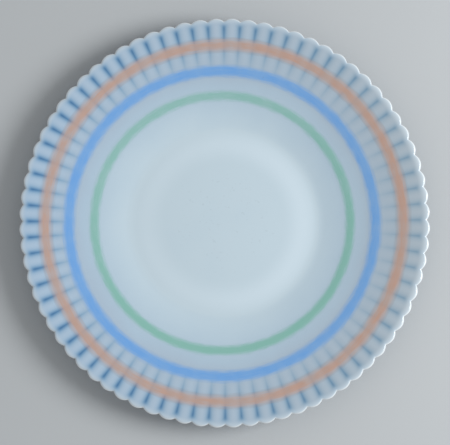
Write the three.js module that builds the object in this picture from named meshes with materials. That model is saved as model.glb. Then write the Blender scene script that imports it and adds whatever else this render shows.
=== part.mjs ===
// Pressed opal-glass salver: a shallow round serving plate with a flat well, a conical flare, a rim
// of convex petals that ends in a scalloped edge, a low foot ring and three fired enamel bands.
// Millimetres, +Z up. The origin is on the table, under the middle of the plate.
import * as THREE from "three";

// Plan of the glass
const tipDiameter = 279.4; // across opposite petal tips
const petalCount = 76;
const scallopDepth = 2.05; // from a petal tip in to the notch beside it
const wellDiameter = 121; // flat that food stands on

// Profile of the glass
const vergeRadius = 40; // round turn from the well up into the flare
const flareAngle = 12.5; // slope of the flare, in degrees
const lipWidth = 18; // outer stretch of the flare, which eases over
const lipAngle = 6; // slope at the petal tips, in degrees
const wellThickness = 4.4;
const rimThickness = 3.4;

// Foot ring, under the well
const footDiameter = 108; // to the middle of the ring
const footWidth = 8; // where the ring leaves the glass
const footLandWidth = 2.6; // flat that stands on the table
const footHeight = 1.6;

// Grooves between the petals
const topGrooveDepth = 0.2; // at the deepest, in the upper face
const underGrooveDepth = 1.8; // at the deepest, in the lower face
const grooveDeepInset = 7.5; // from the petal tips in to where the grooves are deepest
const grooveTail = 0.15; // share of the depth that is left at the rounded edge

// Enamel bands, each placed by the distance from the petal tips in to its middle
const enamelThickness = 0.15;
const pinkBandInset = 17.6;
const pinkBandWidth = 6.7;
const blueBandInset = 34.8;
const blueBandWidth = 6.7;
const greenBandInset = 51.8;
const greenBandWidth = 5.7;

// Facets
const stepsPerPetal = 4; // in the fluted rim, with one step per petal inside it
const vergeSteps = 2;
const edgeSteps = 4; // round the half-round edge

const tipRadius = tipDiameter / 2;
const wellRadius = wellDiameter / 2;
const flare = THREE.MathUtils.degToRad(flareAngle);
const lip = THREE.MathUtils.degToRad(lipAngle);
const edgeRadius = rimThickness / 2;
const edgeStart = tipRadius - edgeRadius; // where the upper and lower faces turn into the edge
const vergeEnd = wellRadius + vergeRadius * Math.sin(flare);
const lipStart = tipRadius - lipWidth;
const wellTop = footHeight + wellThickness;

// An enamel band's inner and outer radius.
function bandSpan(inset, width) {
  const middle = tipRadius - inset;
  return [middle - width / 2, middle + width / 2];
}
const pinkSpan = bandSpan(pinkBandInset, pinkBandWidth);
const blueSpan = bandSpan(blueBandInset, blueBandWidth);
const greenSpan = bandSpan(greenBandInset, greenBandWidth);

// The petals grow out of the flare from the blue band's inner edge.
const petalStart = blueSpan[0];
const grooveDeep = tipRadius - grooveDeepInset;

// Height of the upper face on the petals' crests: flat well, round verge, straight flare, easing lip.
function crestHeight(radius) {
  if (radius <= wellRadius) return wellTop;
  const vergeRun = Math.min(radius, vergeEnd) - wellRadius;
  const vergeRise = vergeRadius - Math.sqrt(vergeRadius ** 2 - vergeRun ** 2);
  const flareRise = Math.max(0, Math.min(radius, lipStart) - vergeEnd) * Math.tan(flare);
  const lipRun = Math.max(0, radius - Math.max(lipStart, vergeEnd));
  const easing = (Math.tan(flare) - Math.tan(lip)) / (2 * lipWidth);
  return wellTop + vergeRise + flareRise + lipRun * Math.tan(flare) - easing * lipRun ** 2;
}

// Thickness on the crests: full under the well, thinning along the flare to the petals.
function crestThickness(radius) {
  const share = THREE.MathUtils.clamp((radius - vergeEnd) / (petalStart - vergeEnd), 0, 1);
  return THREE.MathUtils.lerp(wellThickness, rimThickness, share);
}

// Share of the full groove depth: none where the petals start, most near the tips, a trace at the edge.
function grooveShare(radius) {
  const growth = THREE.MathUtils.clamp((radius - petalStart) / (grooveDeep - petalStart), 0, 1);
  const runOut = THREE.MathUtils.smoothstep(radius, grooveDeep, edgeStart);
  return growth * THREE.MathUtils.lerp(1, grooveTail, runOut);
}

// 0 on a petal's crest and 1 in the notch beside it, along a round petal.
function notchShare(angle) {
  const turn = (angle / (2 * Math.PI)) * petalCount;
  const fromCrest = turn - Math.floor(turn) - 0.5;
  return (2 * fromCrest) ** 2;
}

// Rings near the edge follow its scallops, and rings inside the pink band are plain circles.
function scallopedRadius(radius, angle) {
  const share = THREE.MathUtils.clamp((radius - pinkSpan[1]) / (edgeStart - pinkSpan[1]), 0, 1);
  return radius - share ** 2 * scallopDepth * notchShare(angle);
}

function stepsAround(radius) {
  return radius > petalStart ? petalCount * stepsPerPetal : petalCount;
}

// A ring of points, from functions that give the radius and the height at each angle.
function ring(count, radiusAt, heightAt) {
  return Array.from({ length: count }, (_, step) => {
    const angle = (2 * Math.PI * step) / count;
    const radius = radiusAt(angle);
    return new THREE.Vector3(radius * Math.cos(angle), radius * Math.sin(angle), heightAt(radius, angle));
  });
}

// The upper face at one radius, lifted for the top of an enamel band.
function topRing(radius, lift = 0) {
  return ring(
    stepsAround(radius),
    (angle) => scallopedRadius(radius, angle),
    (r, angle) => crestHeight(r) - topGrooveDepth * grooveShare(radius) * notchShare(angle) + lift,
  );
}

function underRing(radius) {
  return ring(
    stepsAround(radius),
    (angle) => scallopedRadius(radius, angle),
    (r, angle) =>
      crestHeight(r) - crestThickness(r) + underGrooveDepth * grooveShare(radius) * notchShare(angle),
  );
}

// One ring round the half-round edge, at a share of the way from the upper face to the lower one.
function edgeRing(share) {
  const top = topRing(edgeStart);
  const under = underRing(edgeStart);
  return top.map((point, step) => {
    const middle = (point.z + under[step].z) / 2;
    const halfThickness = (point.z - under[step].z) / 2;
    const grown = 1 + (edgeRadius * Math.sin(Math.PI * share)) / Math.hypot(point.x, point.y);
    const height = middle + halfThickness * Math.cos(Math.PI * share);
    return new THREE.Vector3(point.x * grown, point.y * grown, height);
  });
}

// Triangles between two rings whose points may differ in number, down to a single point on the axis.
// Where both rings could step on, the shorter diagonal is taken, so that two pieces that share a face
// share its facets too.
function stitch(positions, inner, outer) {
  const add = (...points) => points.forEach((point) => positions.push(point.x, point.y, point.z));
  const at = (points, step) => points[step % points.length];
  let i = 0;
  let j = 0;
  while (i < inner.length || j < outer.length) {
    const lead = (i + 1) * outer.length - (j + 1) * inner.length;
    const toInner = at(inner, i + 1).distanceTo(at(outer, j));
    const toOuter = at(inner, i).distanceTo(at(outer, j + 1));
    const stepInner = lead < 0 || (lead === 0 && toInner < toOuter);
    if (stepInner) {
      if (inner.length > 1) add(at(inner, i), at(outer, j), at(inner, i + 1));
      i += 1;
    } else {
      if (outer.length > 1) add(at(inner, i), at(outer, j), at(outer, j + 1));
      j += 1;
    }
  }
}

// A skin over a run of rings, which either ends in single points or comes back to its first ring.
function skin(rings, closed) {
  const positions = [];
  rings.slice(1).forEach((next, index) => stitch(positions, rings[index], next));
  if (closed) stitch(positions, rings.at(-1), rings[0]);
  const geometry = new THREE.BufferGeometry();
  geometry.setAttribute("position", new THREE.Float32BufferAttribute(positions, 3));
  geometry.computeVertexNormals();
  return geometry;
}

function piece(name, geometry, material) {
  const mesh = new THREE.Mesh(geometry, material);
  mesh.name = name;
  return mesh;
}

const ascending = (a, b) => a - b;
const vergeRadii = Array.from(
  { length: vergeSteps + 1 },
  (_, step) => wellRadius + ((vergeEnd - wellRadius) * step) / vergeSteps,
);
const bandRadii = [...greenSpan, ...blueSpan, ...pinkSpan];
const topRadii = [...vergeRadii, ...bandRadii, grooveDeep].sort(ascending);

// Pressed glass: over the upper face, round the edge, back along the lower face and over the foot ring.
function glassGeometry() {
  const footRadius = footDiameter / 2;
  const footEnds = [footRadius - footWidth / 2, footRadius + footWidth / 2];
  const landEnds = [footRadius - footLandWidth / 2, footRadius + footLandWidth / 2];
  const onTable = (radius) => ring(stepsAround(radius), () => radius, () => 0);
  const underRadii = [...vergeRadii, greenSpan[0], petalStart, pinkSpan[1], grooveDeep]
    .filter((radius) => radius > footEnds[1])
    .sort(ascending);
  const shares = Array.from({ length: edgeSteps + 1 }, (_, step) => step / edgeSteps);
  const rings = [
    [new THREE.Vector3(0, 0, wellTop)],
    ...topRadii.map((radius) => topRing(radius)),
    ...shares.map(edgeRing),
    ...underRadii.reverse().map(underRing),
    underRing(footEnds[1]),
    onTable(landEnds[1]),
    onTable(landEnds[0]),
    underRing(footEnds[0]),
    [new THREE.Vector3(0, 0, footHeight)],
  ];
  return skin(rings, false);
}

// Fired enamel: a thin ring on the upper face, whose underside has the facets of the glass below it.
function bandGeometry([innerRadius, outerRadius]) {
  const radii = topRadii.filter((radius) => radius >= innerRadius && radius <= outerRadius);
  const top = radii.map((radius) => topRing(radius, enamelThickness));
  const seat = radii.map((radius) => topRing(radius)).reverse();
  return skin([...top, ...seat], true);
}

const opalGlass = new THREE.MeshStandardMaterial({ color: 0xb9cad4, roughness: 0.2, metalness: 0 });
const pinkEnamel = new THREE.MeshStandardMaterial({ color: 0xc29a88, roughness: 0.4, metalness: 0 });
const blueEnamel = new THREE.MeshStandardMaterial({ color: 0x6b9cd0, roughness: 0.4, metalness: 0 });
const greenEnamel = new THREE.MeshStandardMaterial({ color: 0x80b09f, roughness: 0.4, metalness: 0 });

const salver = new THREE.Group();
salver.add(
  piece("glass_body", glassGeometry(), opalGlass),
  piece("pink_enamel_band", bandGeometry(pinkSpan), pinkEnamel),
  piece("blue_enamel_band", bandGeometry(blueSpan), blueEnamel),
  piece("green_enamel_band", bandGeometry(greenSpan), greenEnamel),
);

export default salver;
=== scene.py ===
import math

import bmesh
import bpy
from mathutils import Matrix, Vector, noise


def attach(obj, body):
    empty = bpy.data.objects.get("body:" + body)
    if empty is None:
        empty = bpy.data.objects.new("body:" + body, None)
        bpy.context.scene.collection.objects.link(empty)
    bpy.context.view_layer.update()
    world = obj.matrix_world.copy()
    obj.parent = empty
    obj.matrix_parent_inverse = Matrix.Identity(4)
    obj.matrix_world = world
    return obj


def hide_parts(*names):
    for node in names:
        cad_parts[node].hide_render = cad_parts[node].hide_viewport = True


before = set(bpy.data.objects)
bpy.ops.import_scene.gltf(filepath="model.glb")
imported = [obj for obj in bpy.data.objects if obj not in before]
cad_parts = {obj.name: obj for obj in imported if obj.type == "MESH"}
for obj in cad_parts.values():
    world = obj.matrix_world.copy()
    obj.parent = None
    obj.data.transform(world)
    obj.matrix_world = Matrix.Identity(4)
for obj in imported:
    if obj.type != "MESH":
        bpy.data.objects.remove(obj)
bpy.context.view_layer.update()        # CAD nodes and bodies of the salver
mm = 0.001
mergeReach = 0.001 * mm
crispFold = math.radians(60)


def radiusSpan(node):
    reach = [math.hypot(vert.co.x, vert.co.y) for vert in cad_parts[node].data.vertices]
    return min(reach), max(reach)


# Pressed glass: flat well, round verge, straight flare, petals and a scalloped half-round edge
glass = {
    "petals": 76,
    "stepsPerPetal": 10,
    "scallopDepth": 2.05 * mm,      # from a petal tip in to the notch beside it
    "wellRadius": 60.5 * mm,
    "wallInWell": 4.4 * mm,
    "wallAtRim": 3.4 * mm,
    "vergeRadius": 40 * mm,         # turn from the well up into the flare
    "flareAngle": math.radians(12.5),
    "lipWidth": 18 * mm,            # outer stretch, which eases over
    "lipAngle": math.radians(6),
    "topGroove": 0.2 * mm,
    "underGroove": 1.8 * mm,
    "deepInset": 7.5 * mm,          # from the petal tips in to the deepest groove
    "grooveTail": 0.15,             # share of the groove that is left at the edge
    "petalVariety": 0.12,           # how much one scallop differs from the next
    "varietyPace": 9,
    "varietySlice": 0.1,            # place in the noise that the scallops read
    "footRadius": 54 * mm,
    "footWidth": 8 * mm,
    "landWidth": 2.6 * mm,
    "footHeight": 1.6 * mm,
    "footRounding": 0.7 * mm,
    "footSegments": 3,
    "steps": {                      # of the drawn section, out over the top and back underneath
        "well": 5, "verge": 8, "flare": 6, "petals": 16, "lip": 9, "edge": 12,
        "lipUnder": 7, "petalsUnder": 9, "flareUnder": 5, "vergeUnder": 7, "wellUnder": 4,
    },
}
tipRadius = radiusSpan("glass_body")[1]
petalStart = radiusSpan("blue_enamel_band")[0]      # the petals grow out of the blue line
scallopStart = radiusSpan("pink_enamel_band")[1]    # inside the pink line every ring is a plain circle
edgeRadius = glass["wallAtRim"] / 2
edgeStart = tipRadius - edgeRadius
vergeEnd = glass["wellRadius"] + glass["vergeRadius"] * math.sin(glass["flareAngle"])
lipStart = tipRadius - glass["lipWidth"]
grooveDeep = tipRadius - glass["deepInset"]
wellTop = glass["footHeight"] + glass["wallInWell"]


def share(value, start, end):
    return min(max((value - start) / (end - start), 0.0), 1.0)


def crestRise(radius):     # of the petals' crests above the well
    slope = math.tan(glass["flareAngle"])
    easing = (slope - math.tan(glass["lipAngle"])) / (2 * glass["lipWidth"])
    vergeRun = max(0.0, min(radius, vergeEnd) - glass["wellRadius"])
    vergeRise = glass["vergeRadius"] - math.sqrt(glass["vergeRadius"] ** 2 - vergeRun ** 2)
    lipRun = max(0.0, radius - lipStart)
    return vergeRise + max(0.0, radius - vergeEnd) * slope - easing * lipRun ** 2


def wall(radius):
    thinned = (glass["wallInWell"] - glass["wallAtRim"]) * share(radius, vergeEnd, petalStart)
    return glass["wallInWell"] - thinned


def grooveShare(radius):   # none where the petals start, most near the tips, a trace at the edge
    runOut = share(radius, grooveDeep, edgeStart)
    runOut = runOut * runOut * (3 - 2 * runOut)
    return share(radius, petalStart, grooveDeep) * (1 - (1 - glass["grooveTail"]) * runOut)


def notchShare(angle):     # 0 on a petal's crest, 1 in the notch beside it
    turn = angle / (2 * math.pi) * glass["petals"]
    return (2 * (turn - math.floor(turn)) - 1) ** 2


def scallop(radius, angle):
    where = Vector((math.cos(angle), math.sin(angle), glass["varietySlice"])) * glass["varietyPace"]
    variety = 1 + glass["petalVariety"] * noise.noise(where)
    return glass["scallopDepth"] * variety * notchShare(angle) * share(radius, scallopStart, edgeStart) ** 2


def topSink(radius, angle):    # the upper face only ripples over the grooves
    ripple = 0.5 + 0.5 * math.cos(angle * glass["petals"])
    return glass["topGroove"] * grooveShare(radius) * ripple


def underSink(radius, angle):      # the lower face is cut into round petals
    return glass["underGroove"] * grooveShare(radius) * notchShare(angle)


# A pen that draws a cross-section in the XZ plane
def penStart(radius, height):
    profile = bmesh.new()
    profile.verts.layers.float.new("run")      # distance along the drawn line, for the bake map
    return profile, profile.verts.new((radius, 0, height))


def penLine(profile, pen, radius, height, steps=1):
    start = pen.co.copy()
    for step in range(steps):
        pen = bmesh.ops.extrude_vert_indiv(profile, verts=[pen])["verts"][0]
        pen.co = start.lerp(Vector((radius, 0, height)), (step + 1) / steps)
    return pen


def penArc(profile, pen, centreRadius, centreHeight, angle, steps):
    turned = bmesh.ops.spin(
        profile, geom=[pen], cent=(centreRadius, 0, centreHeight), axis=(0, 1, 0), angle=angle, steps=steps)
    return turned["geom_last"][0]


def measureRun(profile, start):
    run = profile.verts.layers.float["run"]
    vert, edge, length = start, None, 0.0
    while vert:
        vert[run] = length
        ahead = [link for link in vert.link_edges if link is not edge]
        edge = ahead[0] if ahead else None
        length += edge.calc_length() if edge else 0.0
        vert = edge.other_vert(vert) if edge else None
        vert = None if vert is start else vert
    return length


def spinRound(profile):    # one petal's width, then the petals all round
    petal = 2 * math.pi / glass["petals"]
    around = {"cent": (0, 0, 0), "axis": (0, 0, 1)}
    drawn = profile.verts[:] + profile.edges[:]
    bmesh.ops.spin(profile, geom=drawn, angle=petal, steps=glass["stepsPerPetal"], **around)
    wedge = profile.verts[:] + profile.edges[:] + profile.faces[:]
    bmesh.ops.spin(
        profile, geom=wedge, angle=2 * math.pi - petal, steps=glass["petals"] - 1, use_duplicate=True,
        **around)
    bmesh.ops.remove_doubles(profile, verts=profile.verts[:], dist=mergeReach)


def finishPiece(shape, name, material, node):
    bmesh.ops.recalc_face_normals(shape, faces=shape.faces[:])
    for face in shape.faces:
        face.smooth = True
    for edge in shape.edges:       # a fold such as an enamel line's margin stays crisp
        edge.smooth = edge.calc_face_angle(0.0) < crispFold
    mesh = bpy.data.meshes.new(name)
    shape.to_mesh(mesh)
    shape.free()
    piece = bpy.data.objects.new(name, mesh)
    bpy.context.scene.collection.objects.link(piece)
    mesh.materials.append(material)
    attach(piece, "root")
    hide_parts(node)
    print(name, len(mesh.vertices), "vertices", len(mesh.polygons), "faces")
    return piece


bakeMap = {
    "upperCentre": 0.402, "upperReach": 0.395,      # upper face as a disc, with most of the map
    "lowerCentre": 0.812, "lowerReach": 0.178,      # lower face as a small disc in the corner
    "strips": 8,                                    # of an enamel line
    "stripGap": 0.02,                               # on either side of a strip
}


def mapGlass(shape, length):
    run = shape.verts.layers.float["run"]
    uv = shape.loops.layers.uv.new("OFBake")
    middle = max(shape.verts, key=lambda vert: math.hypot(vert.co.x, vert.co.y))[run]
    for face in shape.faces:
        upper = sum(vert[run] for vert in face.verts) / len(face.verts) < middle
        centre = bakeMap["upperCentre" if upper else "lowerCentre"]
        for loop in face.loops:
            vert = loop.vert
            reach = vert[run] / middle if upper else (length - vert[run]) / (length - middle)
            reach *= bakeMap["upperReach" if upper else "lowerReach"]
            angle = math.atan2(vert.co.y, vert.co.x)
            turn = angle if upper else math.pi - angle
            loop[uv].uv = (centre + reach * math.cos(turn), centre + reach * math.sin(turn))


def pressGlass():
    steps = glass["steps"]
    blank, start = penStart(0, wellTop)
    pen = penLine(blank, start, glass["wellRadius"], wellTop, steps["well"])
    pen = penLine(blank, pen, vergeEnd, wellTop, steps["verge"])
    pen = penLine(blank, pen, petalStart, wellTop, steps["flare"])
    pen = penLine(blank, pen, grooveDeep, wellTop, steps["petals"])
    pen = penLine(blank, pen, edgeStart, wellTop, steps["lip"])
    pen = penArc(blank, pen, edgeStart, wellTop - edgeRadius, math.pi, steps["edge"])
    rimUnder = wellTop - glass["wallAtRim"]
    pen = penLine(blank, pen, grooveDeep, rimUnder, steps["lipUnder"])
    pen = penLine(blank, pen, petalStart, rimUnder, steps["petalsUnder"])
    pen = penLine(blank, pen, vergeEnd, glass["footHeight"], steps["flareUnder"])
    pen = penLine(blank, pen, glass["wellRadius"], glass["footHeight"], steps["vergeUnder"])
    corners = []
    for side, width, height in (
        (1, "footWidth", glass["footHeight"]), (1, "landWidth", 0),
        (-1, "landWidth", 0), (-1, "footWidth", glass["footHeight"]),
    ):
        pen = penLine(blank, pen, glass["footRadius"] + side * glass[width] / 2, height)
        corners.append(pen)
    penLine(blank, pen, 0, glass["footHeight"], steps["wellUnder"])
    bmesh.ops.bevel(
        blank, geom=corners, offset=glass["footRounding"], segments=glass["footSegments"], profile=0.5,
        affect="VERTICES", material=-1)
    length = measureRun(blank, start)
    spinRound(blank)
    for vert in blank.verts:       # the mould lifts the flare and presses the petals
        radius = math.hypot(vert.co.x, vert.co.y)
        if radius < glass["wellRadius"]:
            continue
        angle = math.atan2(vert.co.y, vert.co.x)
        upward = 1 - 2 * (wellTop - vert.co.z) / wall(radius)      # 1 on the upper face, -1 on the lower
        upward = min(max(upward, -1.0), 1.0)
        sink = topSink(radius, angle) if upward > 0 else underSink(radius, angle)
        narrowed = radius - scallop(radius, angle)
        height = vert.co.z + crestRise(narrowed) - sink * upward
        vert.co = (narrowed * math.cos(angle), narrowed * math.sin(angle), height)
    mapGlass(blank, length)
    return blank


# Nodes
def addNode(tree, kind, **settings):
    node = tree.nodes.new(kind)
    for key, value in settings.items():
        setattr(node, key, value)
    return node


def plug(tree, socket, value):
    if isinstance(value, bpy.types.NodeSocket):
        tree.links.new(value, socket)
    else:
        socket.default_value = value


def calc(tree, operation, *values):
    node = addNode(tree, "ShaderNodeMath", operation=operation)
    for socket, value in zip(node.inputs, values):
        plug(tree, socket, value)
    return node.outputs[0]


def fade(tree, value, start, end, low=0.0, high=1.0, curve="SMOOTHSTEP"):
    node = addNode(tree, "ShaderNodeMapRange", interpolation_type=curve)
    for socket, part in zip(node.inputs, (value, start, end, low, high)):
        plug(tree, socket, part)
    return node.outputs[0]


def blendColour(tree, factor, first, second, mode="MIX"):
    node = addNode(tree, "ShaderNodeMix", data_type="RGBA", blend_type=mode)
    for index, value in ((0, factor), (6, first), (7, second)):
        plug(tree, node.inputs[index], value)
    return node.outputs[2]


def mottle(tree, place, size, detail=2.0):     # soft noise whose blotches are about as wide as size
    node = addNode(tree, "ShaderNodeTexNoise")
    plug(tree, node.inputs["Vector"], place)
    node.inputs["Scale"].default_value = 1 / size
    node.inputs["Detail"].default_value = detail
    return node.outputs["Fac"]


def flatten(tree, place):      # a place's offset from the plate's axis, and its radius
    flat = addNode(tree, "ShaderNodeVectorMath", operation="MULTIPLY")
    plug(tree, flat.inputs[0], place)
    flat.inputs[1].default_value = (1, 1, 0)
    reach = addNode(tree, "ShaderNodeVectorMath", operation="LENGTH")
    plug(tree, reach.inputs[0], flat.outputs[0])
    return flat.outputs[0], reach.outputs["Value"]


def colourStops(tree, value, stops, highest):
    node = addNode(tree, "ShaderNodeValToRGB")
    plug(tree, node.inputs["Fac"], calc(tree, "DIVIDE", value, highest))
    elements = node.color_ramp.elements
    while len(elements) < len(stops):
        elements.new(0.5)
    for element, (position, colour) in zip(elements, sorted(stops.items())):
        element.position = position / highest
        element.color = (*colour, 1)
    return node.outputs["Color"]


def startGroup(name, inputs, outputs):
    tree = bpy.data.node_groups.new(name, "ShaderNodeTree")
    for direction, sockets in (("INPUT", inputs), ("OUTPUT", outputs)):
        for label, kind in sockets.items():
            tree.interface.new_socket(label, in_out=direction, socket_type="NodeSocket" + kind)
    return tree, addNode(tree, "NodeGroupInput").outputs, addNode(tree, "NodeGroupOutput").inputs


def placeGroup(tree, group, **values):
    node = addNode(tree, "ShaderNodeGroup", node_tree=group)
    for label, value in values.items():
        plug(tree, node.inputs[label], value)
    return node.outputs


# Opal glass: milk-white where the wall is thick, blue where it is thin, with painted light and shade that
# change from -X to +X and a painted glow and highlight on the rounded edge
opal = {
    "byThickness": {               # wall in millimetres, and the colour that it shows
        1.2: (0.042, 0.140, 0.298),
        1.4: (0.065, 0.176, 0.337),
        1.78: (0.109, 0.239, 0.402),
        2.12: (0.165, 0.304, 0.461),
        2.42: (0.229, 0.368, 0.513),
        2.68: (0.282, 0.416, 0.549),
        3.08: (0.354, 0.475, 0.593),
        3.4: (0.402, 0.510, 0.618),
        3.58: (0.417, 0.547, 0.662),
        4.07: (0.496, 0.625, 0.719),
        4.4: (0.540, 0.662, 0.739),
        6.0: (0.603, 0.724, 0.805),
    },
    "thickest": 7.0,               # end of that scale
    "sideReach": 130 * mm,         # painted light and shade change from one side of the plate to the other
    "grooveLeft": 1.04,            # painted shade: how strongly the dark grooves show at -X
    "grooveLoss": 0.5,             # and how much of that is lost at +X, where the lamp is
    "grooveBend": 1.74,
    "lineEnd": 5.5 * mm,           # the grooves fade this close to the edge
    "lineLeft": 0.35,
    # painted light: the rim is bluer on the -X side, whose flare faces the lamp, and greyer at +X
    "leftTint": (1.032, 1.088, 1.145),
    "rightTint": (0.966, 0.910, 0.856),
    "tintStart": 85 * mm,
    "glowInside": 14 * mm,         # how far the foot ring's thicker glass shows paler through the well
    "glowOutside": 13 * mm,
    "paintedGlowSides": (0.15, 1.35),     # painted light: strength of that paleness at -X and at +X, strongest on the lamp's side
    "flareSideLight": 0.15,             # painted light and shade: millimetres of wall added at -X and taken at +X, so the flare is paler where it faces the lamp and darker where it faces away
    "leanInside": (58 * mm, 72 * mm),
    "leanOutside": (84 * mm, 98 * mm),
    "cloud": 0.32,                 # unevenness of the milk, in millimetres of wall
    "cloudSize": 26 * mm,
    "paintedBead": (0.63, 0.71, 0.76),    # painted glow and highlight that pale the rounded edge
    "paintedBeadShare": 0.58,
    "paintedBeadWidth": 4.7 * mm,
    "litRange": (0.78, 1.0),       # share of the way from -X to +X where the painted glow on the edge grows, towards the lamp
    "litShare": 0.92,
    "litWidth": 6.2 * mm,
    "paintedBeadInNotch": 0.55,           # share of the painted glow on the edge that is left between two petals
    # painted highlight along the outermost edge, on its upper part
    "edge": (0.84, 0.875, 0.895),
    "paintedHighlightShare": 0.8,
    "paintedHighlightWidth": 1.4 * mm,
    "paleFrom": 0.25,              # the painted glow and highlight cover the edge from this share of its height up
    "paleTo": 0.8,
    "speckSize": 2.4 * mm,         # dull specks that use has left in the well
    "speckRange": (0.62, 0.72),
    "speckReach": (0.75, 0.4),     # where they thin out and where they are full, of the well's radius
    "speckShade": 0.93,
}


def opalGroup():
    tree, given, result = startGroup("opalTint", {"Place": "Vector"}, {"Colour": "Color", "Tint": "Color"})
    axes = addNode(tree, "ShaderNodeSeparateXYZ")
    plug(tree, axes.inputs[0], given["Place"])
    across, along, height = axes.outputs
    radius = flatten(tree, given["Place"])[1]
    side = fade(tree, across, -opal["sideReach"], opal["sideReach"], curve="LINEAR")
    # petals, as the mould cuts them
    turn = calc(tree, "MULTIPLY", calc(tree, "ARCTAN2", along, across), glass["petals"] / (2 * math.pi))
    fromCrest = calc(tree, "MULTIPLY_ADD", calc(tree, "FRACT", turn), 2.0, -1.0)
    notch = calc(tree, "MULTIPLY", fromCrest, fromCrest)
    edge = calc(tree, "MULTIPLY_ADD", notch, -glass["scallopDepth"], tipRadius)
    inset = calc(tree, "SUBTRACT", edge, radius)
    # wall thickness: thinner out along the flare, thicker over the foot ring, thinnest in the grooves;
    # painted light makes the foot ring's paleness and the grooves' darkness change from -X to +X, and the
    # flare paler at -X and darker at +X
    flare = fade(
        tree, radius, glass["wellRadius"], petalStart, glass["wallInWell"] / mm, glass["wallAtRim"] / mm,
        curve="LINEAR")
    outFromFoot = calc(tree, "SUBTRACT", radius, glass["footRadius"])
    glow = calc(
        tree, "MULTIPLY", fade(tree, outFromFoot, -opal["glowInside"], 0.0),
        fade(tree, outFromFoot, 0.0, opal["glowOutside"], 1.0, 0.0))
    glow = calc(tree, "MULTIPLY", glow, fade(tree, side, 0.0, 1.0, *opal["paintedGlowSides"], curve="LINEAR"))
    thickness = calc(tree, "MULTIPLY_ADD", glow, glass["footHeight"] / mm, flare)
    onFlare = calc(
        tree, "MULTIPLY", fade(tree, radius, *opal["leanInside"]),
        fade(tree, radius, *opal["leanOutside"], 1.0, 0.0))
    paintedFlareLight = fade(tree, side, 0.0, 1.0, opal["flareSideLight"], -opal["flareSideLight"], curve="LINEAR")
    thickness = calc(tree, "MULTIPLY_ADD", onFlare, paintedFlareLight, thickness)
    cloud = calc(tree, "SUBTRACT", mottle(tree, given["Place"], opal["cloudSize"], detail=3.0), 0.5)
    thickness = calc(tree, "MULTIPLY_ADD", cloud, opal["cloud"], thickness)
    growth = fade(tree, radius, petalStart, grooveDeep, curve="LINEAR")
    runOut = fade(tree, inset, 0.0, opal["lineEnd"], opal["lineLeft"], 1.0)
    shown = calc(
        tree, "MULTIPLY_ADD", calc(tree, "POWER", side, opal["grooveBend"]), -opal["grooveLoss"],
        opal["grooveLeft"])
    groove = calc(
        tree, "MULTIPLY", calc(tree, "MULTIPLY", growth, runOut), calc(tree, "MULTIPLY", notch, shown))
    fullDepth = (glass["topGroove"] + glass["underGroove"]) / mm
    thickness = calc(tree, "MULTIPLY_ADD", groove, -fullDepth, thickness)
    colour = colourStops(tree, thickness, opal["byThickness"], opal["thickest"])
    # painted light: a rim that is bluer at -X than at +X, and a painted glow and highlight on the rounded
    # edge
    sideTint = blendColour(tree, side, (*opal["leftTint"], 1), (*opal["rightTint"], 1))
    rim = calc(
        tree, "MULTIPLY", fade(tree, radius, opal["tintStart"], opal["sideReach"], curve="LINEAR"),
        fade(tree, inset, 0.0, opal["paintedBeadWidth"]))
    tint = blendColour(tree, rim, (1, 1, 1, 1), sideTint)
    colour = blendColour(tree, 1.0, colour, tint, "MULTIPLY")
    edgeTop = wellTop + crestRise(edgeStart)
    edgeFoot = edgeTop - glass["wallAtRim"]
    up = fade(
        tree, height, edgeFoot + opal["paleFrom"] * glass["wallAtRim"],
        edgeFoot + opal["paleTo"] * glass["wallAtRim"])
    lit = fade(tree, side, *opal["litRange"])
    paintedBeadWidth = fade(tree, lit, 0.0, 1.0, opal["paintedBeadWidth"], opal["litWidth"], curve="LINEAR")
    paintedBeadShare = fade(tree, lit, 0.0, 1.0, opal["paintedBeadShare"], opal["litShare"], curve="LINEAR")
    paintedBead = calc(
        tree, "MULTIPLY", fade(tree, inset, 0.0, paintedBeadWidth, paintedBeadShare, 0.0),
        fade(tree, notch, 0.0, 1.0, 1.0, opal["paintedBeadInNotch"], curve="LINEAR"))
    colour = blendColour(tree, calc(tree, "MULTIPLY", paintedBead, up), colour, (*opal["paintedBead"], 1))
    paintedEdgeHighlight = fade(tree, inset, 0.0, opal["paintedHighlightWidth"], opal["paintedHighlightShare"], 0.0)
    colour = blendColour(tree, calc(tree, "MULTIPLY", paintedEdgeHighlight, up), colour, (*opal["edge"], 1))
    specks = fade(tree, mottle(tree, given["Place"], opal["speckSize"], detail=4.0), *opal["speckRange"])
    inWell = fade(tree, radius, *(part * glass["wellRadius"] for part in opal["speckReach"]))
    dulled = calc(tree, "MULTIPLY", specks, inWell)
    shade = fade(tree, dulled, 0.0, 1.0, 1.0, opal["speckShade"], curve="LINEAR")
    plug(tree, result["Colour"], blendColour(tree, 1.0, colour, shade, "MULTIPLY"))
    plug(tree, result["Tint"], tint)
    return tree


# Fire-polished skin: slow mould waves, fine peel and the faint rings that use leaves
polish = {
    "ior": 1.5,
    "roughness": 0.15,
    "waveSize": 17 * mm,
    "peelSize": 1.6 * mm,
    "peelShare": 0.05,
    "scuffSize": 0.35 * mm,
    "scuffRange": (0.58, 0.75),
    "scuffed": 0.07,               # roughness that a scuff adds
    "wornSize": 30 * mm,
    "wornRange": (0.35, 0.7),
    "bloomSize": 45 * mm,          # slow change of gloss
    "bloom": 0.08,
    "relief": 0.05 * mm,
}


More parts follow.
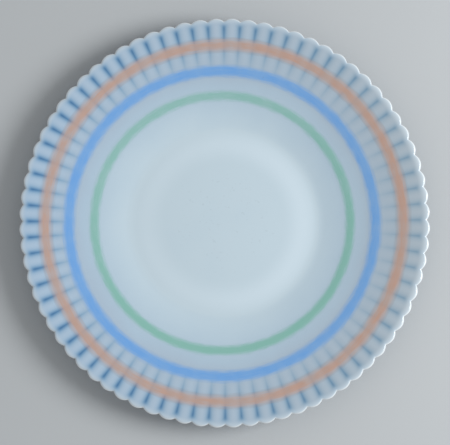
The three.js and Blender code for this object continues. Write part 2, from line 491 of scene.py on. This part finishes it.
def polishGroup():
    tree, given, result = startGroup(
        "firePolish", {"Place": "Vector", "Gloss": "Float"}, {"Roughness": "Float", "Height": "Float"})
    waves = mottle(tree, given["Place"], polish["waveSize"], detail=1.0)
    peel = mottle(tree, given["Place"], polish["peelSize"], detail=1.0)
    rings = addNode(tree, "ShaderNodeCombineXYZ")
    plug(tree, rings.inputs[0], flatten(tree, given["Place"])[1])
    scratches = mottle(tree, rings.outputs[0], polish["scuffSize"])
    scuffs = fade(tree, scratches, *polish["scuffRange"], 0.0, polish["scuffed"])
    patches = fade(tree, mottle(tree, given["Place"], polish["wornSize"]), *polish["wornRange"])
    bloom = calc(tree, "SUBTRACT", mottle(tree, given["Place"], polish["bloomSize"]), 0.5)
    gloss = calc(tree, "MULTIPLY_ADD", bloom, polish["bloom"], given["Gloss"])
    plug(tree, result["Roughness"], calc(tree, "MULTIPLY_ADD", scuffs, patches, gloss))
    plug(tree, result["Height"], calc(tree, "MULTIPLY_ADD", peel, polish["peelShare"], waves))
    return tree


# Enamel laid by a brush on a turning wheel: feathered edges, streaks along the line, thin patches
enamel = {
    "crown": 0.06 * mm,            # how far the line stands up in its middle
    "film": 0.012 * mm,            # clear margin on either side, where the colour has run out
    "margin": 4.0 * mm,
    "taper": 1.6 * mm,             # outer stretch of the margin, which dips into the glass
    "dip": 0.02 * mm,
    "key": 0.05 * mm,              # depth of the underside in the glass
    "stepsAcross": 8,
    "tinted": 0.6,                 # share of the rim's painted light hue, bluer at -X and greyer at +X, that shows in the enamel
    "streakSize": 0.9 * mm,        # across the line
    "streakDraw": 12 * mm,         # radius at which the streaks are drawn out along the line
    "streakRange": (0.35, 0.75),
    "streakRelief": 0.25,
    "hairs": 2.4 * mm,             # how far single brush hairs stray over the edge
    "wobbleSize": 9 * mm,
    "wobble": 0.7 * mm,
    "patchSize": 13 * mm,
    "thinRange": (0.4, 0.7),
    "hueRange": (0.25, 0.75),
    "fleckSize": 1.7 * mm,         # grains of pigment
    "fleckRange": (0.76, 0.84),
    "fleckShade": 0.72,
    "darkeningPlace": 1.1 * mm,        # the glass is a little darker just outside a line's edge
    "darkeningSpread": 1.7 * mm,
}


def enamelGroup():
    tree, given, result = startGroup(
        "enamelLine",
        {"Place": "Vector", "Shift": "Vector", "Middle": "Float", "HalfWidth": "Float", "Feather": "Float",
         "Streaks": "Float", "Patches": "Float", "Spent": "Vector"},
        {"Cover": "Float", "Patch": "Float", "Streak": "Float", "Fleck": "Float", "MarginMask": "Float"})
    moved = addNode(tree, "ShaderNodeVectorMath", operation="SUBTRACT")
    plug(tree, moved.inputs[0], given["Place"])
    plug(tree, moved.inputs[1], given["Shift"])
    flat, radius = flatten(tree, moved.outputs[0])
    heading = addNode(tree, "ShaderNodeVectorMath", operation="NORMALIZE")
    plug(tree, heading.inputs[0], flat)
    course = addNode(tree, "ShaderNodeVectorMath", operation="MULTIPLY_ADD")
    plug(tree, course.inputs[0], heading.outputs[0])
    course.inputs[1].default_value = (enamel["streakDraw"], enamel["streakDraw"], 0)
    rise = addNode(tree, "ShaderNodeCombineXYZ")
    plug(tree, rise.inputs[2], radius)
    plug(tree, course.inputs[2], rise.outputs[0])
    streak = mottle(tree, course.outputs[0], enamel["streakSize"], detail=3.0)
    hair = calc(tree, "SUBTRACT", streak, 0.5)
    wobble = calc(tree, "SUBTRACT", mottle(tree, given["Place"], enamel["wobbleSize"]), 0.5)
    offMiddle = calc(tree, "ABSOLUTE", calc(tree, "SUBTRACT", radius, given["Middle"]))
    offMiddle = calc(tree, "MULTIPLY_ADD", wobble, enamel["wobble"], offMiddle)
    offMiddle = calc(tree, "MULTIPLY_ADD", hair, enamel["hairs"], offMiddle)
    inner = calc(tree, "SUBTRACT", given["HalfWidth"], given["Feather"])
    outer = calc(tree, "ADD", given["HalfWidth"], given["Feather"])
    body = fade(tree, offMiddle, inner, outer, 1.0, 0.0)
    patch = mottle(tree, given["Place"], enamel["patchSize"], detail=3.0)
    thin = calc(tree, "MULTIPLY", fade(tree, patch, *enamel["thinRange"]), given["Patches"])
    lines = calc(tree, "MULTIPLY", fade(tree, streak, *enamel["streakRange"]), given["Streaks"])
    grains = mottle(tree, given["Place"], enamel["fleckSize"], detail=1.0)
    fleck = fade(tree, grains, *enamel["fleckRange"])
    spent = addNode(tree, "ShaderNodeVectorMath", operation="DOT_PRODUCT")
    plug(tree, spent.inputs[0], heading.outputs[0])
    plug(tree, spent.inputs[1], given["Spent"])
    worn = calc(tree, "ADD", calc(tree, "ADD", thin, lines), spent.outputs["Value"])
    cover = calc(tree, "MULTIPLY", body, fade(tree, worn, 0.0, 1.0, 1.0, 0.0, curve="LINEAR"))
    darkeningMiddle = calc(tree, "ADD", given["HalfWidth"], enamel["darkeningPlace"])
    offDarkening = calc(tree, "ABSOLUTE", calc(tree, "SUBTRACT", offMiddle, darkeningMiddle))
    plug(tree, result["Cover"], cover)
    plug(tree, result["Patch"], patch)
    plug(tree, result["Streak"], streak)
    plug(tree, result["Fleck"], fleck)
    plug(tree, result["MarginMask"], fade(tree, offDarkening, 0.0, enamel["darkeningSpread"], 1.0, 0.0))
    return tree


def startMaterial(name):
    material = bpy.data.materials.new(name)
    material.use_nodes = True
    tree = material.node_tree
    tree.nodes.clear()
    shader = addNode(tree, "ShaderNodeBsdfPrincipled")
    output = addNode(tree, "ShaderNodeOutputMaterial")
    tree.links.new(shader.outputs[0], output.inputs[0])
    place = addNode(tree, "ShaderNodeTexCoord").outputs["Object"]
    return material, tree, shader, place


def addBump(tree, shader, height, distance):
    bump = addNode(tree, "ShaderNodeBump")
    bump.inputs["Distance"].default_value = distance
    plug(tree, bump.inputs["Height"], height)
    tree.links.new(bump.outputs[0], shader.inputs["Normal"])


opalTint = opalGroup()
firePolish = polishGroup()
enamelLine = enamelGroup()


def opalGlassMaterial():
    material, tree, shader, place = startMaterial("opalGlass")
    tint = placeGroup(tree, opalTint, Place=place)
    skin = placeGroup(tree, firePolish, Place=place, Gloss=polish["roughness"])
    plug(tree, shader.inputs["Base Color"], tint["Colour"])
    plug(tree, shader.inputs["Roughness"], skin["Roughness"])
    shader.inputs["IOR"].default_value = polish["ior"]
    addBump(tree, shader, skin["Height"], polish["relief"])
    return material


# Enamel lines, from the rim inwards. Shift is how far off the plate's middle a line was laid, the margin
# value is how dark the glass gets just outside the line's edge, and spent points to where the brush ran
# thin.
bands = {
    "pink_enamel": {
        "node": "pink_enamel_band", "shift": (-0.23 * mm, -0.43 * mm, 0),
        "colour": (0.508, 0.328, 0.264), "second": (0.468, 0.338, 0.283),
        "feather": 2.6 * mm, "streaks": 0.14, "patches": 0.14, "gloss": 0.34,
        "marginDarkening": 0.92, "spent": (0, 0, 0),
    },
    "blue_enamel": {
        "node": "blue_enamel_band", "shift": (-1.65 * mm, -0.67 * mm, 0),
        "colour": (0.150, 0.364, 0.735), "second": (0.168, 0.382, 0.729),
        "feather": 2.1 * mm, "streaks": 0.10, "patches": 0.06, "gloss": 0.3,
        "marginDarkening": 0.98, "spent": (0.028, 0.012, 0),
    },
    "green_enamel": {
        "node": "green_enamel_band", "shift": (-1.6 * mm, -0.28 * mm, 0),
        "colour": (0.227, 0.483, 0.425), "second": (0.241, 0.485, 0.432),
        "feather": 1.8 * mm, "streaks": 0.10, "patches": 0.06, "gloss": 0.3,
        "marginDarkening": 0.985, "spent": (-0.042, 0.133, 0),
    },
}


def enamelMaterial(name, band, middle, halfWidth):
    material, tree, shader, place = startMaterial(name)
    tint = placeGroup(tree, opalTint, Place=place)
    line = placeGroup(
        tree, enamelLine, Place=place, Shift=band["shift"], Middle=middle, HalfWidth=halfWidth,
        Feather=band["feather"], Streaks=band["streaks"], Patches=band["patches"], Spent=band["spent"])
    skin = placeGroup(tree, firePolish, Place=place, Gloss=polish["roughness"])
    second = fade(tree, line["Patch"], *enamel["hueRange"], curve="LINEAR")
    hue = blendColour(tree, second, (*band["colour"], 1), (*band["second"], 1))
    shade = fade(tree, line["Fleck"], 0.0, 1.0, 1.0, enamel["fleckShade"], curve="LINEAR")
    hue = blendColour(tree, 1.0, hue, shade, "MULTIPLY")
    # the enamel takes part of the rim's painted light hue
    hue = blendColour(tree, enamel["tinted"], hue, tint["Tint"], "MULTIPLY")
    marginDarkening = fade(tree, line["MarginMask"], 0.0, 1.0, 1.0, band["marginDarkening"], curve="LINEAR")
    colour = blendColour(tree, line["Cover"], tint["Colour"], hue)
    plug(tree, shader.inputs["Base Color"], blendColour(tree, 1.0, colour, marginDarkening, "MULTIPLY"))
    satin = calc(tree, "MULTIPLY", line["Cover"], band["gloss"] - polish["roughness"])
    plug(tree, shader.inputs["Roughness"], calc(tree, "ADD", skin["Roughness"], satin))
    shader.inputs["IOR"].default_value = polish["ior"]
    brushed = calc(tree, "MULTIPLY", line["Streak"], line["Cover"])
    height = calc(tree, "MULTIPLY_ADD", brushed, enamel["streakRelief"], skin["Height"])
    addBump(tree, shader, height, polish["relief"])
    return material


def mapBand(shape, length):
    run = shape.verts.layers.float["run"]
    uv = shape.loops.layers.uv.new("OFBake")
    strips, gap = bakeMap["strips"], bakeMap["stripGap"]
    for face in shape.faces:
        middle = face.calc_center_median()
        facing = math.atan2(middle.y, middle.x)
        faceTurn = (facing / (2 * math.pi)) % 1
        strip = math.floor(faceTurn * strips)
        longest = max(vert[run] for vert in face.verts)
        for loop in face.loops:
            vert = loop.vert
            swing = math.remainder(math.atan2(vert.co.y, vert.co.x) - facing, 2 * math.pi)
            turn = faceTurn + swing / (2 * math.pi)
            reach = length if vert[run] == 0 and longest > length / 2 else vert[run]
            across = gap + (1 - 2 * gap) * reach / length
            loop[uv].uv = (turn * strips - strip, (strip + across) / strips)


def layEnamel(band, middle, halfWidth):
    half = halfWidth + enamel["margin"]
    shoulder = half - enamel["taper"]
    crownTop = enamel["film"] + enamel["crown"]
    bend = (halfWidth ** 2 + enamel["crown"] ** 2) / (2 * enamel["crown"])     # radius of the crown
    line, start = penStart(middle - half, -enamel["dip"])
    pen = penLine(line, start, middle - shoulder, enamel["film"])
    pen = penLine(line, pen, middle - halfWidth, enamel["film"])
    pen = penArc(line, pen, middle, crownTop - bend, 2 * math.asin(halfWidth / bend), enamel["stepsAcross"])
    pen = penLine(line, pen, middle + shoulder, enamel["film"])
    pen = penLine(line, pen, middle + half, -enamel["dip"])
    pen = penLine(line, pen, middle + half, -enamel["key"])
    pen = penLine(line, pen, middle - half, -enamel["key"], enamel["stepsAcross"])
    line.edges.new((pen, start))
    length = measureRun(line, start)
    spinRound(line)
    mapBand(line, length)
    bmesh.ops.translate(line, verts=line.verts[:], vec=band["shift"])
    for vert in line.verts:        # the line follows the flare and the petals
        radius = math.hypot(vert.co.x, vert.co.y)
        angle = math.atan2(vert.co.y, vert.co.x)
        vert.co.z += wellTop + crestRise(radius) - topSink(radius, angle)
    return line


finishPiece(pressGlass(), "salver_glass", opalGlassMaterial(), "glass_body")
for slot, band in bands.items():
    low, high = radiusSpan(band["node"])
    middle, halfWidth = (low + high) / 2, (high - low) / 2
    finishPiece(
        layEnamel(band, middle, halfWidth), slot + "_line", enamelMaterial(slot, band, middle, halfWidth),
        band["node"])
print("glass pressed and enamel laid")


# Table, light and camera
studio = {
    "floorSize": 40.0,
    "floorColour": (0.50, 0.53, 0.55, 1),
    "farColour": (0.88, 0.91, 0.93, 1),
    "farStart": 0.5,               # the floor pales from here to the end, so that low views stay light
    "farEnd": 4.0,
    "floorRoughness": 0.9,
    "grainSize": 0.2,
    "grainShade": (0.97, 1.0),
    "world": 0.48,
    "keyPower": 11.2,
    "keySize": 0.64,
    "keyPlace": (0.92, 0.025, 0.77),
    "cameraAim": (0.28 * mm, -0.86 * mm, 15 * mm),
    "cameraLean": (0.0021, -0.0823, 0.9966),       # from the aim towards the camera
    "cameraDistance": 931 * mm,
    "cameraRoll": math.radians(-0.2),
    "lens": 108.9,
}


def layFloor():
    table = bmesh.new()
    bmesh.ops.create_grid(table, x_segments=1, y_segments=1, size=studio["floorSize"] / 2)
    mesh = bpy.data.meshes.new("floor")
    table.to_mesh(mesh)
    table.free()
    floor = bpy.data.objects.new("floor", mesh)
    bpy.context.scene.collection.objects.link(floor)
    material, tree, shader, place = startMaterial("paleFloor")
    away = fade(tree, flatten(tree, place)[1], studio["farStart"], studio["farEnd"])
    tone = blendColour(tree, away, studio["floorColour"], studio["farColour"])
    grain = fade(tree, mottle(tree, place, studio["grainSize"]), 0.0, 1.0, *studio["grainShade"])
    plug(tree, shader.inputs["Base Color"], blendColour(tree, 1.0, tone, grain, "MULTIPLY"))
    shader.inputs["Roughness"].default_value = studio["floorRoughness"]
    mesh.materials.append(material)


def hangLight(name, place, size, power):
    lamp = bpy.data.lights.new(name, "AREA")
    lamp.shape = "DISK"
    lamp.size = size
    lamp.energy = power
    light = bpy.data.objects.new(name, lamp)
    light.location = place
    light.rotation_euler = Vector(place).to_track_quat("Z", "Y").to_euler()
    bpy.context.scene.collection.objects.link(light)


def setCamera():
    lens = bpy.data.cameras.new("camera")
    lens.lens = studio["lens"]
    camera = bpy.data.objects.new("camera", lens)
    back = Vector(studio["cameraLean"]).normalized()
    right = Vector((0, 1, 0)).cross(back).normalized()
    turn = Matrix((right, back.cross(right), back)).transposed()
    camera.matrix_world = (
        Matrix.Translation(Vector(studio["cameraAim"]) + back * studio["cameraDistance"])
        @ (turn @ Matrix.Rotation(studio["cameraRoll"], 3, "Z")).to_4x4())
    bpy.context.scene.collection.objects.link(camera)
    bpy.context.scene.camera = camera


layFloor()
hangLight("key", studio["keyPlace"], studio["keySize"], studio["keyPower"])
world = bpy.data.worlds.new("studio")
world.use_nodes = True
world.node_tree.nodes["Background"].inputs["Color"].default_value = (1, 1, 1, 1)
world.node_tree.nodes["Background"].inputs["Strength"].default_value = studio["world"]
bpy.context.scene.world = world
setCamera()
bpy.context.scene.view_settings.view_transform = "Standard"
print("floor, light and camera set")
